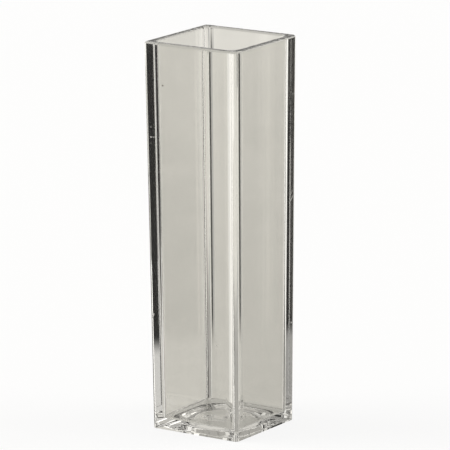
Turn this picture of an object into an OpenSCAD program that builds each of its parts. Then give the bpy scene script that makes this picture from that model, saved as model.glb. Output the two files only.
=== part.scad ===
// Square clear cuvette with a drafted shell, a rounded rim and a recessed foot.
// Origin at the middle of the foot, +Z up to the mouth, millimetres.

/* [Shell] */
// Height from the foot to the rim
height = 45; // [20:0.5:60]
// Width across the outside at the rim
rim_w = 12.5; // [12.3:0.1:14]
// Width across the outside at the foot
foot_w = 11.6; // [11:0.1:12]
// Thickness of the four walls
wall = 0.76; // [0.7:0.02:1.4]
// Thickness of the floor, measured over the foot
floor_t = 1.2; // [0.8:0.1:3]

/* [Edges] */
// Radius of the upright outside edges at the foot, which grows with the draft
foot_edge_r = 0.2; // [0.15:0.05:0.8]
// Radius of the upright inside corners at the floor, which grows with the draft
bore_edge_r = 0.85; // [0.5:0.05:2]
// Radius of the fillet between the floor and the walls
floor_r = 0.15; // [0.1:0.05:0.45]
// Radius of the outside edge of the rim
rim_edge_r = 0.3; // [0.1:0.05:0.4]
// Radius of the inside edge of the rim
mouth_edge_r = 0.28; // [0.1:0.02:0.34]

/* [Foot] */
// Width of the round recess in the underside
recess_d = 8; // [5:0.5:10]
// Depth of the recess
recess_depth = 0.35; // [0.2:0.05:0.6]
// Slope of the side of the recess
recess_slope = 20; // [5:5:45]
// Width of the gate mark in the middle of the recess
gate_d = 1.2; // [0.6:0.1:2]
// Height of the gate mark, which stays inside the recess
gate_h = 0.15; // [0.05:0.01:0.19]

/* [Hidden] */
$fn = 64;
// Room past a face that a cutter runs through
over = 1;
// Outward lean of every wall
lean = atan((rim_w - foot_w) / 2 / height);
// Centre lines of the rounded upright edges, outside and inside
shell_c = foot_w / 2 - foot_edge_r;
bore_c = half_at(floor_t) - wall - bore_edge_r;

// Half the outside width at a height
function half_at(z) = foot_w / 2 + z * tan(lean);

// Distance from a leaning wall to the centre of an arc of radius r that touches it and a level face
function tuck(r, side) = r * (1 + side * sin(lean)) / cos(lean);

// Where that arc, centred at p, meets the leaning wall
function touch(p, r, side) = p + side * r * [cos(lean), -sin(lean)];

// Upright section of the outside, drawn outwards from its centre line
module shell_section() {
    rim = [half_at(height) - shell_c - tuck(rim_edge_r, 1), height - rim_edge_r];
    polygon([
        [0, 0],
        [foot_edge_r, 0],
        touch(rim, rim_edge_r, 1),
        [rim.x, height],
        [0, height],
    ]);
    translate(rim)
        circle(r = rim_edge_r);
}

// Upright section of the bore, drawn outwards from its centre line and out through the mouth
module bore_section() {
    low = [half_at(floor_t) - wall - bore_c - tuck(floor_r, -1), floor_t + floor_r];
    top = [half_at(height) - wall - bore_c + tuck(mouth_edge_r, -1), height - mouth_edge_r];
    difference() {
        union() {
            polygon([
                [0, floor_t],
                [low.x, floor_t],
                touch(low, floor_r, 1),
                touch(top, mouth_edge_r, -1),
                top,
                [top.x, height + over],
                [0, height + over],
            ]);
            translate(low)
                circle(r = floor_r);
        }
        translate(top)
            circle(r = mouth_edge_r);
    }
}

// Four-sided block from z0 to z1: a core, and an upright section carried round it at x = y = c
module four_sided(c, z0, z1) {
    translate([-c, -c, z0])
        cube([2 * c, 2 * c, z1 - z0]);
    for (turn = [0 : 90 : 270])
        rotate([0, 0, turn])
            translate([c, c, 0]) {
                rotate([90, 0, 0])
                    linear_extrude(2 * c)
                        children();
                rotate_extrude(angle = 90)
                    intersection() {
                        children();
                        square([rim_w, height + over]);
                    }
            }
}

// Round recess with a gate mark in its middle, as a cutter
module recess() {
    roof_d = recess_d - 2 * recess_depth * tan(recess_slope);
    difference() {
        union() {
            cylinder(d1 = recess_d, d2 = roof_d, h = recess_depth);
            translate([0, 0, -over])
                cylinder(d = recess_d, h = over);
        }
        translate([0, 0, recess_depth - gate_h])
            cylinder(d = gate_d, h = gate_h + over);
    }
}

module cuvette() {
    color([0.84, 0.83, 0.79, 0.45])
        difference() {
            four_sided(shell_c, 0, height)
                shell_section();
            four_sided(bore_c, floor_t, height + over)
                bore_section();
            recess();
        }
}

cuvette();
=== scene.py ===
"""Looks and studio for a square clear plastic cuvette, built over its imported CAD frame."""

import logging
import math
from dataclasses import dataclass, field
from enum import Enum
from typing import ClassVar

import bmesh
import bpy
from mathutils import Matrix, Vector


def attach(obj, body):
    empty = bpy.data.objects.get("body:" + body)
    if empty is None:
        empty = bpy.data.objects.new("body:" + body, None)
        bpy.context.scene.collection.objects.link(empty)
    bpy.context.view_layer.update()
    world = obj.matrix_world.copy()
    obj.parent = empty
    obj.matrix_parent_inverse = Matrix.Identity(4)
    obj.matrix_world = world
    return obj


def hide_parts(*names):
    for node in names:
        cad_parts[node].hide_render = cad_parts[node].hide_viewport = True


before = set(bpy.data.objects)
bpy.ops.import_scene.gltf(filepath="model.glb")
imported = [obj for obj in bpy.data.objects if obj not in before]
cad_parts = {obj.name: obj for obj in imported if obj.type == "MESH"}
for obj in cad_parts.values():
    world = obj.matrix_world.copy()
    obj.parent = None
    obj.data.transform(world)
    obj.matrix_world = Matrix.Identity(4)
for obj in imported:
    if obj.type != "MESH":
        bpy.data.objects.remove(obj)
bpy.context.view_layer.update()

log = logging.getLogger("cuvette")

MM = 0.001
MERGE_DISTANCE = 1e-7
WHITE = (1.0, 1.0, 1.0, 1.0)

Triple = tuple[float, float, float]
Colour = tuple[float, float, float, float]


class Value:
    """A number in a shader, on which plain arithmetic adds the Math nodes."""

    def __init__(self, tree: "ShaderTree", socket: bpy.types.NodeSocket) -> None:
        """Wrap a socket.

        Args:
            tree: The tree that new nodes go into.
            socket: The output that holds the number.
        """
        self.tree = tree
        self.socket = socket

    def _math(self, operation: str, first: "Value | float", second: "Value | float") -> "Value":
        """Add one Math node.

        Args:
            operation: The node's operation.
            first: The left operand.
            second: The right operand.

        Returns:
            The result.
        """
        return self.tree.number(
            "Value", "ShaderNodeMath", {"operation": operation}, {0: first, 1: second}
        )

    def __add__(self, other: "Value | float") -> "Value":
        """Return the sum."""
        return self._math("ADD", self, other)

    def __radd__(self, other: float) -> "Value":
        """Return the sum, with the number on the left."""
        return self._math("ADD", other, self)

    def __sub__(self, other: "Value | float") -> "Value":
        """Return the difference."""
        return self._math("SUBTRACT", self, other)

    def __rsub__(self, other: float) -> "Value":
        """Return the difference, with the number on the left."""
        return self._math("SUBTRACT", other, self)

    def __mul__(self, other: "Value | float") -> "Value":
        """Return the product."""
        return self._math("MULTIPLY", self, other)

    def __rmul__(self, other: float) -> "Value":
        """Return the product, with the number on the left."""
        return self._math("MULTIPLY", other, self)

    def larger(self, other: "Value | float") -> "Value":
        """Return the larger of the two."""
        return self._math("MAXIMUM", self, other)

    def past(self, limit: float) -> "Value":
        """Return 1 where the number is past the limit, and 0 elsewhere."""
        return self._math("GREATER_THAN", self, limit)


class ShaderTree:
    """A node tree, with one way to add nodes to it."""

    def __init__(self, tree: bpy.types.NodeTree) -> None:
        """Start from an empty tree.

        Args:
            tree: The tree of a material or a world.
        """
        tree.nodes.clear()
        self.tree = tree

    def add(
        self,
        kind: str,
        settings: dict[str, object] | None = None,
        inputs: dict[str | int, object] | None = None,
    ) -> bpy.types.Node:
        """Add a node.

        Args:
            kind: The node's type.
            settings: The node's own properties, which are set first.
            inputs: A value, a Value or an output socket for each input that is set.

        Returns:
            The new node.
        """
        node = self.tree.nodes.new(kind)
        for name, setting in (settings or {}).items():
            setattr(node, name, setting)
        for name, source in (inputs or {}).items():
            if isinstance(source, Value):
                source = source.socket
            if isinstance(source, bpy.types.NodeSocket):
                self.tree.links.new(source, node.inputs[name])
            else:
                node.inputs[name].default_value = source
        return node

    def number(
        self,
        output: str,
        kind: str,
        settings: dict[str, object] | None = None,
        inputs: dict[str | int, object] | None = None,
    ) -> Value:
        """Add a node and wrap one of its outputs.

        Args:
            output: The name of the output.
            kind: The node's type.
            settings: The node's own properties.
            inputs: What each input is set or linked to.

        Returns:
            The output, as a number.
        """
        return Value(self, self.add(kind, settings, inputs).outputs[output])

    def place(self) -> bpy.types.NodeSocket:
        """Return the object coordinates, in metres."""
        return self.add("ShaderNodeTexCoord").outputs["Object"]

    def upward(self, vector: bpy.types.NodeSocket) -> Value:
        """Return the upward part of a vector."""
        return self.number("Z", "ShaderNodeSeparateXYZ", {}, {"Vector": vector})

    def length(self, vector: bpy.types.NodeSocket) -> Value:
        """Return the length of a vector."""
        return self.number("Value", "ShaderNodeVectorMath", {"operation": "LENGTH"}, {0: vector})

    def ray(self, fact: str) -> Value:
        """Return what the light path says about the ray."""
        return self.number(fact, "ShaderNodeLightPath")

    def noise(self, scale: Triple, detail: float, roughness: float = 0.5) -> Value:
        """Return a noise on the object coordinates.

        Args:
            scale: How many features there are in a millimetre, along each axis.
            detail: The noise's detail.
            roughness: How strong the finer detail is.

        Returns:
            The noise, from 0 to 1.
        """
        scaled = self.add(
            "ShaderNodeMapping",
            {"vector_type": "POINT"},
            {"Vector": self.place(), "Scale": tuple(part / MM for part in scale)},
        )
        return self.number(
            "Fac",
            "ShaderNodeTexNoise",
            {"noise_dimensions": "3D"},
            {
                "Vector": scaled.outputs["Vector"],
                "Scale": 1.0,
                "Detail": detail,
                "Roughness": roughness,
            },
        )

    def smooth_step(self, value: Value, start: float, end: float) -> Value:
        """Take a number through a smooth step.

        Args:
            value: The number.
            start: Where the step starts.
            end: Where it ends, which may be on either side of the start.

        Returns:
            The step, from 0 at the start to 1 at the end.
        """
        return self.number(
            "Result",
            "ShaderNodeMapRange",
            {"interpolation_type": "SMOOTHSTEP"},
            {"Value": value, "From Min": start, "From Max": end, "To Min": 0.0, "To Max": 1.0},
        )

    def mix_colours(
        self, factor: Value, first: object, second: object
    ) -> bpy.types.NodeSocket:
        """Mix two colours.

        Args:
            factor: How much there is of the second.
            first: The colour, or its socket, where the factor is 0.
            second: The colour, or its socket, where the factor is 1.

        Returns:
            The mixed colour.
        """
        node = self.add(
            "ShaderNodeMix",
            {"data_type": "RGBA", "clamp_factor": True},
            {0: factor, 6: first, 7: second},
        )
        return node.outputs[2]

    def show(self, shader: bpy.types.NodeSocket) -> None:
        """Send a shader to the material's surface."""
        self.add("ShaderNodeOutputMaterial", {}, {"Surface": shader})

    def show_glow(self, under: bpy.types.NodeSocket, factor: Value, colour: Colour) -> None:
        """Send a shader to the surface with a glow laid over it.

        Args:
            under: The shader, which shows where the factor is 0.
            factor: How far the glow covers it.
            colour: The glow's colour.
        """
        glow = self.add("ShaderNodeEmission", {}, {"Color": colour, "Strength": 1.0})
        both = self.add(
            "ShaderNodeMixShader", {}, {0: factor, 1: under, 2: glow.outputs["Emission"]}
        )
        self.show(both.outputs["Shader"])


def new_material(name: str) -> tuple[bpy.types.Material, ShaderTree]:
    """Make a material with an empty tree.

    Args:
        name: The material's name.

    Returns:
        The material and its tree.
    """
    material = bpy.data.materials.new(name)
    material.use_nodes = True
    return material, ShaderTree(material.node_tree)


def new_object(mesh: bmesh.types.BMesh, name: str) -> bpy.types.Object:
    """Turn a mesh into an object of the scene.

    Args:
        mesh: The mesh, which is freed.
        name: The name of the object and of its mesh.

    Returns:
        The object, which has no material yet.
    """
    data = bpy.data.meshes.new(name)
    mesh.to_mesh(data)
    mesh.free()
    thing = bpy.data.objects.new(name, data)
    bpy.context.scene.collection.objects.link(thing)
    return thing


class Damage(Enum):
    """What a mark is."""

    SPECK = "speck"
    NICK = "nick"
    # A rough patch whose colour is also lifted toward white: a painted reflection.
    SMEAR_WITH_PAINTED_REFLECTION = "smear"


@dataclass(frozen=True)
class Mark:
    """A small mark on the plastic, long or round.

    The centre and the reach each way from it are in millimetres, and the turn is in degrees. The
    core is the share of the reach over which the mark has its full strength.
    """

    damage: Damage
    centre: Triple
    reach: Triple
    turn: Triple = (0.0, 0.0, 0.0)
    strength: float = 1.0
    core: float = 0.45

    def mask(self, tree: ShaderTree) -> Value:
        """Build the mark's mask.

        Args:
            tree: The material's tree.

        Returns:
            The mask, from 0 outside the mark to its strength at its middle.
        """
        own = tree.add(
            "ShaderNodeMapping",
            {"vector_type": "TEXTURE"},
            {
                "Vector": tree.place(),
                "Location": tuple(part * MM for part in self.centre),
                "Rotation": tuple(math.radians(part) for part in self.turn),
                "Scale": tuple(part * MM for part in self.reach),
            },
        )
        away = tree.length(own.outputs["Vector"])
        return tree.smooth_step(away, 1.0, self.core) * self.strength


@dataclass(frozen=True)
class Pattern:
    """A noise in the plastic, cut so that it runs from 0 at its start to 1 at its end.

    The scale says how many features there are in a millimetre, along each axis.
    """

    scale: Triple
    detail: float
    roughness: float
    start: float
    end: float

    def level(self, tree: ShaderTree) -> Value:
        """Return the pattern, from 0 to 1."""
        return tree.smooth_step(
            tree.noise(self.scale, self.detail, self.roughness), self.start, self.end
        )


@dataclass(frozen=True)
class ClearPlastic:
    """Clear moulded plastic with a faint warm tint, clouding, a wiped film, nicks, specks, and
    smears that are rough and lifted toward white as a painted reflection.

    The denser tint shows in the flow lines and the clouds, and in the fine mottling below
    mottle_top, which is full at mottle_foot. Both heights are in millimetres. The ripple is the
    depth of the slow swell in the surface, in metres.
    """

    name: str = "clear_plastic"
    tint: Colour = (0.963, 0.958, 0.938, 1.0)
    dense_tint: Colour = (0.928, 0.923, 0.903, 1.0)
    # The white that the smears' colour is lifted toward: a painted reflection.
    painted_reflection_white: Colour = WHITE
    dirt: Colour = (0.22, 0.20, 0.17, 1.0)
    ior: float = 1.55
    polish: float = 0.012
    ripple: float = 2e-6
    ripple_scale: Triple = (0.25, 0.25, 0.07)
    flow_lines: Pattern = Pattern((1.6, 1.6, 0.045), 3.0, 0.5, 0.40, 0.62)
    clouds: Pattern = Pattern((0.12, 0.12, 0.24), 5.0, 0.62, 0.36, 0.64)
    mottles: Pattern = Pattern((0.4, 0.4, 1.2), 3.0, 0.6, 0.40, 0.60)
    wiping: Pattern = Pattern((0.9, 0.9, 0.35), 4.0, 0.6, 0.50, 0.70)
    flow_share: float = 0.15
    cloud_share: float = 0.75
    cloud_share_lost_low: float = 0.35
    mottle_share: float = 0.4
    mottle_top: float = 20.0
    mottle_foot: float = 6.0
    # How far the smears' colour goes toward that white: painted reflection.
    painted_reflection_cover: float = 0.8
    wiped_roughness: float = 0.012
    smear_roughness: float = 0.25
    speck_roughness: float = 0.2
    nick_roughness: float = 0.75
    # Kind, centre, reach and turn.
    marks: tuple[Mark, ...] = (
        Mark(Damage.SPECK, (-3.66, -6.2, 40.18), (0.17, 0.17, 0.13)),
        Mark(Damage.NICK, (-5.38, -6.15, 35.24), (0.16, 0.16, 0.09), strength=0.35),
        Mark(Damage.NICK, (-5.38, -6.14, 34.08), (0.16, 0.16, 0.1)),
        Mark(Damage.NICK, (-5.1, -6.14, 34.12), (0.6, 0.3, 0.05), strength=0.5),
        Mark(Damage.NICK, (-5.38, -6.13, 33.34), (0.16, 0.16, 0.09), strength=0.3),
        Mark(Damage.NICK, (-5.48, -5.94, 13.3), (0.12, 0.3, 0.4), (0.0, 20.0, 0.0)),
        Mark(Damage.NICK, (6.06, 5.15, 26.1), (0.2, 0.75, 0.07), (47.0, 0.0, 0.0)),
        Mark(Damage.NICK, (6.06, 5.2, 26.9), (0.2, 0.5, 0.035), (52.0, 0.0, 0.0), strength=0.7),
        Mark(Damage.NICK, (5.92, 5.25, 11.6), (0.16, 0.16, 0.12)),
        Mark(Damage.NICK, (3.17, -5.9, 10.95), (0.15, 0.15, 0.12)),
        Mark(Damage.NICK, (3.5, -5.9, 10.72), (0.05, 0.2, 0.4), (0.0, 40.0, 0.0), strength=0.25),
        Mark(Damage.NICK, (3.75, -5.9, 10.62), (0.05, 0.2, 0.4), (0.0, 40.0, 0.0), strength=0.25),
        # Smears: rough patches that also carry a painted reflection, lifting the colour toward
        # white.
        Mark(Damage.SMEAR_WITH_PAINTED_REFLECTION, (-3.2, -5.84, 3.4), (1.3, 0.4, 0.32), (0.0, 32.0, 0.0)),
        Mark(Damage.SMEAR_WITH_PAINTED_REFLECTION, (-3.5, -5.84, 2.9), (1.0, 0.4, 0.2), (0.0, 36.0, 0.0)),
        Mark(Damage.SMEAR_WITH_PAINTED_REFLECTION, (0.3, 6.17, 37.45), (0.9, 0.4, 0.08), strength=0.5),
    )

    def spread_of(self, tree: ShaderTree, damage: Damage) -> Value:
        """Return the masks of all the marks of one kind, together.

        Args:
            tree: The material's tree.
            damage: The kind of mark.

        Returns:
            The largest of the masks at each point.
        """
        first, *others = [mark.mask(tree) for mark in self.marks if mark.damage is damage]
        for mask in others:
            first = first.larger(mask)
        return first

    def density(self, tree: ShaderTree) -> Value:
        """Build the pattern of the denser tint.

        Args:
            tree: The material's tree.

        Returns:
            How much of the denser tint there is, from 0 to 1.
        """
        height = tree.upward(tree.place())
        low = tree.smooth_step(height, self.mottle_top * MM, self.mottle_foot * MM)
        clouded = self.clouds.level(tree) * (self.cloud_share - low * self.cloud_share_lost_low)
        mottled = self.mottles.level(tree) * low * self.mottle_share
        return self.flow_lines.level(tree) * self.flow_share + clouded + mottled

    def material(self) -> bpy.types.Material:
        """Build the material.

        Returns:
            The clear plastic.
        """
        material, tree = new_material(self.name)
        specks = self.spread_of(tree, Damage.SPECK)
        nicks = self.spread_of(tree, Damage.NICK)
        smears_and_painted_reflection = self.spread_of(tree, Damage.SMEAR_WITH_PAINTED_REFLECTION)

        colour = tree.mix_colours(self.density(tree), self.tint, self.dense_tint)
        # Painted reflection: the smears lift the colour toward white.
        colour = tree.mix_colours(smears_and_painted_reflection * self.painted_reflection_cover, colour, self.painted_reflection_white)
        colour = tree.mix_colours(specks, colour, self.dirt)
        roughness = (
            self.polish
            + self.wiping.level(tree) * self.wiped_roughness
            + smears_and_painted_reflection * self.smear_roughness
            + specks * self.speck_roughness
            + nicks * self.nick_roughness
        )
        swell = tree.noise(self.ripple_scale, detail=1.0)
        ripples = tree.add(
            "ShaderNodeBump",
            {},
            {"Strength": 1.0, "Distance": self.ripple, "Height": swell},
        )
        plastic = tree.add(
            "ShaderNodeBsdfPrincipled",
            {},
            {
                "Base Color": colour,
                "Roughness": roughness,
                "IOR": self.ior,
                "Transmission Weight": 1.0,
                "Normal": ripples.outputs["Normal"],
            },
        )
        tree.show(plastic.outputs["BSDF"])
        return material


@dataclass(frozen=True)
class Section:
    """A level of the moulding: a square with rounded corners."""

    height: float
    half: float
    corner: float


@dataclass(frozen=True)
class Taper:
    """Four walls that lean outwards, with rounded upright edges. Sizes are in millimetres."""

    height: float
    foot_half: float
    rim_half: float
    foot_corner: float
    rim_corner: float
    arc_steps: int

    @property
    def lean(self) -> float:
        """Return the outward lean of the walls, in radians."""
        return math.atan((self.rim_half - self.foot_half) / self.height)

    def section(self, height: float, half: float | None = None) -> Section:
        """Return the section at a height.

        Args:
            height: The height.
            half: Half the width, where an arc has drawn it in or out from the wall.

        Returns:
            The section, whose corners keep their centre lines however far they are drawn.
        """
        share = height / self.height
        full = self.foot_half + (self.rim_half - self.foot_half) * share
        corner = self.foot_corner + (self.rim_corner - self.foot_corner) * share
        drawn = 0.0 if half is None else half - full
        return Section(height, full + drawn, corner + drawn)

    def arc(self, level: float, radius: float, up: int, inside: int) -> list[Section]:
        """Work out the arc that joins the walls to a level face.

        Args:
            level: The height of the level face.
            radius: The arc's radius.
            up: 1 where the level face is above the arc, -1 where it is below.
            inside: 1 where the arc's centre is nearer the axis than the wall, -1 where it is not.

        Returns:
            The section of each step, from the wall to the level face.
        """
        tuck = radius * (1 + up * inside * math.sin(self.lean)) / math.cos(self.lean)
        centre = self.section(level).half - inside * tuck
        start = -up * inside * self.lean
        turn = math.pi / 2 - start
        sections = []
        for step in range(self.arc_steps + 1):
            angle = start + turn * step / self.arc_steps
            half = centre + inside * radius * math.cos(angle)
            sections.append(self.section(level + up * radius * (math.sin(angle) - 1), half))
        return sections


@dataclass
class Ring:
    """A closed loop of vertices, made at one level and moved to its height later, in metres."""

    verts: list[bmesh.types.BMVert]
    level: float
    height: float

    def edges(self) -> list[bmesh.types.BMEdge]:
        """Find the edges of the loop.

        Returns:
            The edges between the ring's own vertices.
        """
        own = set(self.verts)
        near = dict.fromkeys(edge for vertex in self.verts for edge in vertex.link_edges)
        return [edge for edge in near if own.issuperset(edge.verts)]


@dataclass
class Cuvette:
    """The whole moulding: shell, rim, bore, floor and recessed foot.

    Sizes are in millimetres, and the recess's slope is in degrees from upright. The spread is how
    far apart the rings stand while they are joined. Faces narrower than the band width belong to
    the rounded bands, and all others are flat.
    """

    height: float = 45.0
    rim_width: float = 12.5
    foot_width: float = 11.6
    rim_wall: float = 0.78
    foot_wall: float = 0.74
    floor_thickness: float = 1.2
    foot_edge_radius: float = 0.38
    rim_corner_radius: float = 0.46
    foot_bore_radius: float = 1.02
    rim_bore_radius: float = 1.15
    floor_radius: float = 0.15
    rim_edge_radius: float = 0.3
    mouth_edge_radius: float = 0.28
    recess_width: float = 8.0
    recess_depth: float = 0.35
    recess_slope: float = 20.0
    gate_width: float = 1.2
    gate_height: float = 0.15
    corner_steps: int = 32
    edge_steps: int = 12
    spread: float = 2.0
    band_width: float = 0.25
    finish: ClearPlastic = field(default_factory=ClearPlastic)

    def outside(self) -> list[Section]:
        """Work out the outside.

        Returns:
            The sections, from the foot to the top of the rim.
        """
        walls = Taper(
            self.height,
            self.foot_width / 2,
            self.rim_width / 2,
            self.foot_edge_radius,
            self.rim_corner_radius,
            self.edge_steps,
        )
        return [walls.section(0.0), *walls.arc(self.height, self.rim_edge_radius, 1, 1)]

    def inside(self) -> list[Section]:
        """Work out the bore.

        Returns:
            The sections, from the top of the rim to the floor.
        """
        walls = Taper(
            self.height,
            self.foot_width / 2 - self.foot_wall,
            self.rim_width / 2 - self.rim_wall,
            self.foot_bore_radius,
            self.rim_bore_radius,
            self.edge_steps,
        )
        mouth = walls.arc(self.height, self.mouth_edge_radius, 1, -1)[::-1]
        return mouth + walls.arc(self.floor_thickness, self.floor_radius, -1, 1)

    def square_ring(self, mesh: bmesh.types.BMesh, section: Section, level: float) -> Ring:
        """Add the closed loop of one section.

        Args:
            mesh: The mesh to add to.
            section: The section.
            level: The height at which the loop is made.

        Returns:
            The loop.
        """
        known = set(mesh.verts)
        square = bmesh.ops.create_grid(
            mesh,
            x_segments=1,
            y_segments=1,
            size=section.half * MM,
            matrix=Matrix.Translation((0.0, 0.0, level)),
        )["verts"]
        bmesh.ops.bevel(
            mesh,
            geom=square,
            offset=section.corner * MM,
            offset_type="OFFSET",
            segments=self.corner_steps,
            profile=0.5,
            affect="VERTICES",
            material=-1,
        )
        made = [vertex for vertex in mesh.verts if vertex not in known]
        bmesh.ops.delete(mesh, geom=made[0].link_faces[:], context="FACES_ONLY")
        return Ring(made, level, section.height * MM)

    def round_ring(
        self, mesh: bmesh.types.BMesh, radius: float, height: float, level: float
    ) -> Ring:
        """Add a circle with as many edges as a section's loop.

        Args:
            mesh: The mesh to add to.
            radius: The circle's radius.
            height: The circle's height.
            level: The height at which the loop is made.

        Returns:
            The loop.
        """
        count = 4 * (self.corner_steps + 1)
        place = Matrix.Translation((0.0, 0.0, level)) @ Matrix.Rotation(math.pi / count, 4, "Z")
        circle = bmesh.ops.create_circle(mesh, segments=count, radius=radius * MM, matrix=place)
        return Ring(circle["verts"], level, height * MM)

    def build(self) -> bpy.types.Object:
        """Build the moulding as one closed mesh.

        The rings are joined while they stand apart, since rings on one level would twist, and
        are then moved to their heights.

        Returns:
            The cuvette.
        """
        mesh = bmesh.new()
        slope = self.recess_depth * math.tan(math.radians(self.recess_slope))
        rounds = [
            (self.gate_width / 2, self.recess_depth - self.gate_height),
            (self.gate_width / 2, self.recess_depth),
            (self.recess_width / 2 - slope, self.recess_depth),
            (self.recess_width / 2, 0.0),
        ]
        sections = self.outside() + self.inside()
        rings = [
            self.round_ring(mesh, radius, height, rank * self.spread * MM)
            for rank, (radius, height) in enumerate(rounds)
        ]
        rings += [
            self.square_ring(mesh, section, (rank + len(rounds)) * self.spread * MM)
            for rank, section in enumerate(sections)
        ]
        loops = [ring.edges() for ring in rings]
        for first, second in zip(loops, loops[1:]):
            bmesh.ops.bridge_loops(mesh, edges=first + second)
        bmesh.ops.edgeloop_fill(mesh, edges=loops[0])
        bmesh.ops.edgeloop_fill(mesh, edges=loops[-1])
        for ring in rings:
            drop = (0.0, 0.0, ring.height - ring.level)
            bmesh.ops.translate(mesh, verts=ring.verts, vec=drop)
        bmesh.ops.remove_doubles(mesh, verts=mesh.verts, dist=MERGE_DISTANCE)
        bmesh.ops.recalc_face_normals(mesh, faces=mesh.faces)
        self.shade(mesh)
        return new_object(mesh, "cuvette_moulding")

    def shade(self, mesh: bmesh.types.BMesh) -> None:
        """Shade the rounded bands smooth and leave the flat faces flat.

        Args:
            mesh: The finished mesh.
        """
        for face in mesh.faces:
            spans = sorted(edge.calc_length() for edge in face.edges)
            face.smooth = len(face.verts) == 4 and spans[0] < self.band_width * MM

    def dress(self, piece: bpy.types.Object) -> None:
        """Give the moulding its finish and its place in the frame.

        Args:
            piece: The cuvette.
        """
        piece.data.materials.append(self.finish.material())
        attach(piece, "root")
        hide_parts("cuvette")


def stand(mesh: bmesh.types.BMesh, name: str, material: bpy.types.Material) -> bpy.types.Object:
    """Turn a mesh into a stage object with one material.

    Args:
        mesh: The mesh, which is freed.
        name: The object's name.
        material: Its material.

    Returns:
        The object.
    """
    thing = new_object(mesh, name)
    thing.data.materials.append(material)
    return thing


@dataclass(frozen=True)
class Glowing:
    """A thing round the object that glows evenly, and of which only the plastic shows an image.

    The level is its brightness, where 1 is white. The warmth is what each channel keeps of it.
    """

    name: str
    level: float

    warmth: ClassVar[Triple] = (1.0, 0.985, 0.95)

    def shown(self, tree: ShaderTree) -> Value:
        """Return where the glow shows, from 0 to 1."""
        raise NotImplementedError

    def hang(self, mesh: bmesh.types.BMesh) -> bpy.types.Object:
        """Put the mesh on the stage, hidden from the camera and from the light on surfaces.

        Args:
            mesh: The mesh, which is freed.

        Returns:
            The object, which has nothing where its glow does not show.
        """
        material, tree = new_material(self.name)
        tone = (*(self.level * share for share in self.warmth), 1.0)
        clear = tree.add("ShaderNodeBsdfTransparent")
        tree.show_glow(clear.outputs["BSDF"], self.shown(tree), tone)
        thing = stand(mesh, self.name, material)
        thing.visible_camera = False
        thing.visible_diffuse = False
        thing.visible_shadow = False
        return thing


@dataclass(frozen=True)
class Card(Glowing):
    """A curved card round the object. Bearings are in degrees and lengths in metres."""

    first_bearing: float
    last_bearing: float
    bottom: float = -0.185
    top: float = -0.055
    fade: float = 0.006
    distance: float = 0.6
    steps: int = 12

    def shown(self, tree: ShaderTree) -> Value:
        """Let the glow die away at the top and the bottom.

        Args:
            tree: The card's tree.

        Returns:
            Where the glow shows, from 0 to 1.
        """
        height = tree.upward(tree.place())
        over = tree.smooth_step(height, self.bottom, self.bottom + self.fade)
        return over * tree.smooth_step(height, self.top, self.top - self.fade)

    def build(self) -> bpy.types.Object:
        """Sweep an upright edge round the object.

        Returns:
            The card.
        """
        mesh = bmesh.new()
        start = math.radians(self.first_bearing)
        foot = Vector((math.cos(start), math.sin(start), 0.0)) * self.distance
        ends = [mesh.verts.new(foot + Vector((0.0, 0.0, z))) for z in (self.bottom, self.top)]
        bmesh.ops.spin(
            mesh,
            geom=[*ends, mesh.edges.new(ends)],
            cent=(0.0, 0.0, 0.0),
            axis=(0.0, 0.0, 1.0),
            angle=math.radians(self.last_bearing - self.first_bearing),
            steps=self.steps,
            use_merge=False,
        )
        return self.hang(mesh)


@dataclass(frozen=True)
class Sheet(Glowing):
    """A sheet that lies beside the object and shows only in light that a wall guides down to it.

    The bearing is in degrees and lengths are in millimetres. Light that has met the plastic fewer
    times than direct_bounces has not been guided, and passes the sheet by.
    """

    bearing: float
    reach: float
    fade: float = 12.0
    height: float = -0.01
    direct_bounces: float = 4.5

    def shown(self, tree: ShaderTree) -> Value:
        """Let the glow die away outwards and leave out direct light.

        Args:
            tree: The sheet's tree.

        Returns:
            Where the glow shows, from 0 to 1.
        """
        away = tree.length(tree.place())
        near = tree.smooth_step(away, (self.reach + self.fade) * MM, self.reach * MM)
        return near * tree.ray("Ray Depth").past(self.direct_bounces)

    def build(self) -> bpy.types.Object:
        """Build the sheet, level and with one edge under the object.

        Returns:
            The sheet.
        """
        mesh = bmesh.new()
        size = (self.reach + self.fade) * MM
        bmesh.ops.create_grid(mesh, x_segments=1, y_segments=1, size=size)
        turn = Matrix.Rotation(math.radians(self.bearing), 4, "Z")
        place = turn @ Matrix.Translation((size, 0.0, self.height * MM))
        bmesh.ops.transform(mesh, matrix=place, verts=mesh.verts)
        return self.hang(mesh)


@dataclass(frozen=True)
class Lamp:
    """A soft square lamp that lights surfaces and leaves no image in the plastic.

    Lengths are in metres and the power is in watts.
    """

    name: str
    place: Triple
    power: float
    size: float = 0.8
    aim_height: float = 0.02

    def build(self) -> bpy.types.Object:
        """Hang the lamp, facing the object.

        Returns:
            The lamp.
        """
        data = bpy.data.lights.new(self.name, "AREA")
        data.shape = "SQUARE"
        data.size = self.size
        data.energy = self.power
        lamp = bpy.data.objects.new(self.name, data)
        towards = Vector((0.0, 0.0, self.aim_height)) - Vector(self.place)
        lamp.location = self.place
        lamp.rotation_euler = towards.to_track_quat("-Z", "Y").to_euler()
        lamp.visible_glossy = False
        lamp.visible_transmission = False
        bpy.context.scene.collection.objects.link(lamp)
        return lamp


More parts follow.
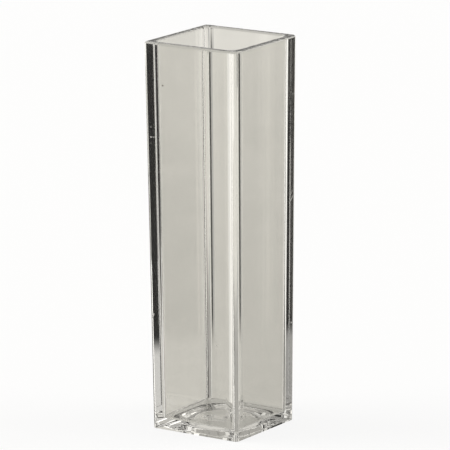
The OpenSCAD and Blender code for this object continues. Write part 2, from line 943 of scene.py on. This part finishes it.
@dataclass(frozen=True)
class Floor:
    """The pale floor. It shows white to the camera, apart from the shadow that the object casts.

    Lengths are in metres. The glow is how much of the white covers the paint under the object,
    and it grows to all of it between the two distances of the clearing.
    """

    width: float = 6.0
    height: float = -0.02 * MM
    paint: Colour = (0.80, 0.785, 0.745, 1.0)
    glow: float = 0.85
    clearing: tuple[float, float] = (0.1, 0.8)

    def build(self) -> bpy.types.Object:
        """Lay the floor.

        Returns:
            The floor.
        """
        mesh = bmesh.new()
        bmesh.ops.create_grid(mesh, x_segments=1, y_segments=1, size=self.width / 2)
        bmesh.ops.translate(mesh, verts=mesh.verts, vec=(0.0, 0.0, self.height))
        material, tree = new_material("pale_floor")
        far = tree.smooth_step(tree.length(tree.place()), *self.clearing)
        cover = self.glow + far * (1.0 - self.glow)
        painted = tree.add("ShaderNodeBsdfDiffuse", {}, {"Color": self.paint})
        tree.show_glow(painted.outputs["BSDF"], tree.ray("Is Camera Ray") * cover, WHITE)
        floor = stand(mesh, "studio_floor", material)
        floor.visible_glossy = False
        floor.visible_transmission = False
        return floor


@dataclass(frozen=True)
class Surroundings:
    """The soft light from all round: white to the camera and pale grey through the plastic.

    Each slope is the upward part of a direction, and a pair of them is where one tone starts to
    give way to the next and where it has gone.
    """

    near: Colour = (0.68, 0.664, 0.62, 1.0)
    far: Colour = (0.835, 0.816, 0.765, 1.0)
    above: Colour = (0.46, 0.45, 0.43, 1.0)
    below: Colour = (0.56, 0.55, 0.515, 1.0)
    on_surfaces: Colour = (0.55, 0.55, 0.55, 1.0)
    far_slopes: tuple[float, float] = (-0.27, -0.18)
    above_slopes: tuple[float, float] = (-0.01, 0.1)
    below_slopes: tuple[float, float] = (-0.30, -0.40)

    def build(self) -> bpy.types.World:
        """Set the world.

        Returns:
            The world.
        """
        world = bpy.data.worlds.new("studio")
        world.use_nodes = True
        bpy.context.scene.world = world
        tree = ShaderTree(world.node_tree)
        slope = tree.upward(tree.add("ShaderNodeTexCoord").outputs["Generated"])
        first, last = self.far_slopes
        depth = tree.number(
            "Result",
            "ShaderNodeMapRange",
            {"clamp": True},
            {"Value": slope, "From Min": first, "From Max": last},
        )
        paper = tree.mix_colours(depth, self.near, self.far)
        paper = tree.mix_colours(tree.smooth_step(slope, *self.above_slopes), paper, self.above)
        paper = tree.mix_colours(tree.smooth_step(slope, *self.below_slopes), paper, self.below)
        bent = tree.ray("Is Glossy Ray").larger(tree.ray("Is Transmission Ray"))
        around = tree.mix_colours(bent, self.on_surfaces, paper)
        colour = tree.mix_colours(tree.ray("Is Camera Ray"), around, WHITE)
        sky = tree.add("ShaderNodeBackground", {}, {"Color": colour, "Strength": 1.0})
        tree.add("ShaderNodeOutputWorld", {}, {"Surface": sky.outputs["Background"]})
        return world


@dataclass(frozen=True)
class Camera:
    """The camera. Angles are in degrees, and the distance and the clipping are in metres.

    It aims at a point on the upright plane that faces it, given in millimetres to the right of
    the object's axis and above the floor.
    """

    azimuth: float = 34.2
    elevation: float = 13.03
    roll: float = -0.45
    distance: float = 0.525
    pixels_per_mm: float = 8.80
    picture_width: float = 450.0
    sensor_width: float = 36.0
    aim_right: float = 0.365
    aim_height: float = 23.36
    clip_start: float = 0.01
    clip_end: float = 50.0

    def build(self) -> bpy.types.Object:
        """Set the camera at the angle from which the object is seen.

        Returns:
            The camera.
        """
        turn, rise, roll = (math.radians(a) for a in (self.azimuth, self.elevation, self.roll))
        ahead = Vector(
            (-math.sin(turn) * math.cos(rise), math.cos(turn) * math.cos(rise), -math.sin(rise))
        )
        right = Vector((math.cos(turn), math.sin(turn), 0.0))
        up = right.cross(ahead)
        side = math.cos(roll) * right + math.sin(roll) * up
        top = -math.sin(roll) * right + math.cos(roll) * up
        aim = right * self.aim_right * MM + Vector((0.0, 0.0, self.aim_height * MM))
        data = bpy.data.cameras.new("camera")
        data.sensor_width = self.sensor_width
        shown_width = self.picture_width / self.pixels_per_mm * MM
        data.lens = self.distance / shown_width * self.sensor_width
        data.clip_start = self.clip_start
        data.clip_end = self.clip_end
        camera = bpy.data.objects.new("camera", data)
        axes = Matrix((side, top, -ahead)).transposed().to_4x4()
        camera.matrix_world = Matrix.Translation(aim - ahead * self.distance) @ axes
        bpy.context.scene.collection.objects.link(camera)
        bpy.context.scene.camera = camera
        return camera


@dataclass
class Studio:
    """The floor, the light, the cards and the camera."""

    floor: Floor = Floor()
    surroundings: Surroundings = Surroundings()
    camera: Camera = Camera()
    plastic_bounces: int = 24
    all_bounces: int = 32
    # Name, place and power.
    lamps: tuple[Lamp, ...] = (
        Lamp("key_light", (-0.9, -0.5, 1.1), 12.0),
        Lamp("fill_light", (0.9, 0.6, 0.9), 8.0),
    )
    # Name, level, first and last bearing, and bottom, top and fade where they differ.
    cards: tuple[Card, ...] = (
        Card("white_card_far_right", 1.3, 36.0, 52.0),
        Card("black_card_right", 0.02, 52.0, 59.0, -0.185, 0.015),
        Card("white_card_right", 1.2, 65.0, 76.0),
        Card("bright_card_right", 1.45, 76.0, 90.0),
        Card("soft_card_right", 1.13, 90.0, 100.0),
        Card("softer_card_right", 0.93, 100.0, 108.0),
        Card("grey_card_back", 0.5, 135.0, 143.0, -0.159, -0.072, 0.012),
        Card("black_card_back", 0.01, 143.0, 151.5, -0.159, -0.072, 0.012),
        Card("white_card_left", 1.3, 155.5, 161.5),
        Card("black_card_left", 0.01, 162.0, 175.5, -0.185, -0.03),
        Card("low_black_card_left", 0.01, 175.5, 184.5, -0.185, -0.064),
        Card("black_card_far_left", 0.01, 184.5, 208.0, -0.185, -0.03),
        Card("black_card_near", 0.012, 231.0, 239.5, -0.185, 0.03),
        Card("grey_card_front", 0.3, 270.0, 308.0),
        Card("white_card_front", 1.0, 330.0, 370.0),
        Card("white_card_below", 0.8, 310.0, 390.0, -0.6, -0.19),
        Card("grey_card_above_right", 0.4, 44.0, 53.0, 0.016, 0.07),
        Card("bright_card_above_right", 2.2, 54.0, 64.0, 0.074, 0.22),
        Card("dark_card_above_right", 0.06, 65.0, 86.0, 0.016, 0.216),
        Card("white_card_above_left", 1.0, 155.0, 213.0, 0.016, 0.216),
        Card("black_card_above_front", 0.03, 246.0, 364.0, 0.02, 0.216),
        Card("white_card_above_front", 2.0, 366.0, 392.0, 0.02, 0.216),
        Card("white_card_high_right", 1.1, 64.0, 93.0, 0.23, 0.51),
        Card("bright_card_high_back", 1.7, 125.0, 153.0, 0.23, 0.51),
        Card("white_card_high_left", 0.95, 155.0, 183.0, 0.23, 0.51),
    )
    # Name, level, bearing and reach.
    sheets: tuple[Sheet, ...] = (
        Sheet("pale_sheet_right", 0.68, 56.0, 30.0),
        Sheet("pale_sheet_left", 0.36, 236.0, 34.0),
    )

    def build(self) -> None:
        """Build the studio and set how the picture is shown."""
        self.floor.build()
        self.surroundings.build()
        for thing in (*self.lamps, *self.cards, *self.sheets):
            thing.build()
        self.camera.build()
        scene = bpy.context.scene
        scene.view_settings.view_transform = "Standard"
        scene.cycles.glossy_bounces = self.plastic_bounces
        scene.cycles.transmission_bounces = self.plastic_bounces
        scene.cycles.max_bounces = self.all_bounces


def main() -> None:
    """Build the cuvette and the studio in order."""
    logging.basicConfig(level=logging.INFO, format="%(name)s: %(message)s")
    cuvette = Cuvette()
    piece = cuvette.build()
    cuvette.dress(piece)
    log.info("%s: %d faces", piece.name, len(piece.data.polygons))
    studio = Studio()
    studio.build()
    log.info("studio: %d lamps and %d cards", len(studio.lamps), len(studio.cards))


if __name__ == "__main__":
    main()
